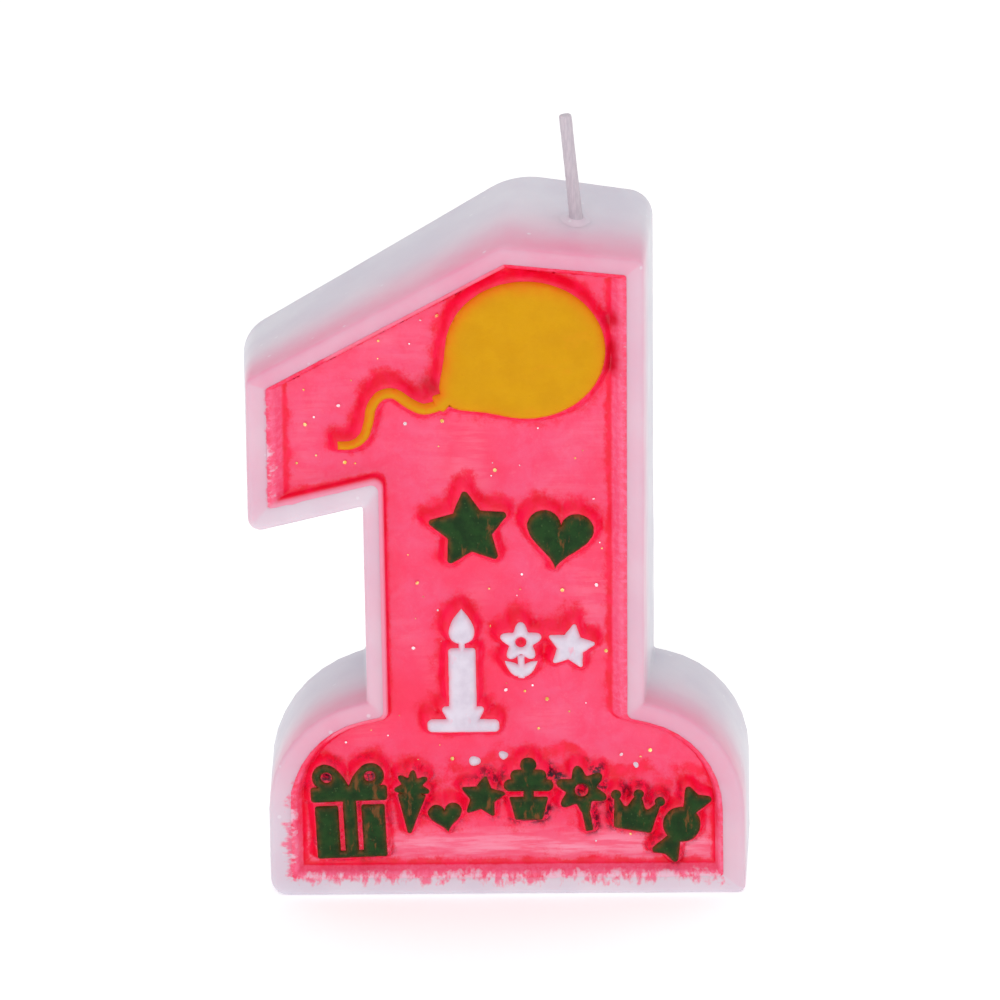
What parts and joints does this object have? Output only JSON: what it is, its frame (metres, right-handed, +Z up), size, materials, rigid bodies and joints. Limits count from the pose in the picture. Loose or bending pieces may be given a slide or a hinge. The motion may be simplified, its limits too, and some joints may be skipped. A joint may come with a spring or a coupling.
{
  "type": "number birthday candle",
  "caption": "Cast wax numeral-one birthday candle with a leaning wick and a recessed pink panel carrying balloon, star, heart and party motifs.",
  "frame": {"origin": "centre of the flat base, at the middle of the width and of the thickness", "axes": "+Z up along the numeral and its wick, +Y through the thickness towards the back, +X to the right seen from the front"},
  "size_m": [0.0589, 0.02, 0.0939],
  "materials": {
    "white_wax": "translucent cast wax, satin",
    "pink_wax": "thin translucent pink colour coat, satin",
    "yellow_wax": "opaque coloured wax, matt",
    "green_wax": "opaque coloured wax, satin",
    "relief_white": "opaque white wax, satin",
    "waxed_cotton": "braided cotton soaked in wax",
    "glitter": "metallised flecks"
  },
  "bodies": {
    "root": {"wax_body": "white_wax", "pink_panel_coat": "pink_wax", "wick": "waxed_cotton", "wick_collar": "white_wax", "balloon": "yellow_wax", "balloon_knot": "yellow_wax", "balloon_string": "yellow_wax", "star_green": "green_wax", "heart_green": "green_wax", "candle_white": "relief_white", "flower_white": "relief_white", "star_white": "relief_white", "gift_box": "green_wax", "ice_cream_cone": "green_wax", "small_heart": "green_wax", "small_star": "green_wax", "cupcake": "green_wax", "party_flower": "green_wax", "crown": "green_wax", "wrapped_sweet": "green_wax", "glitter_flecks": "glitter", "wax_dabs": "relief_white"}
  },
  "joints": []
}
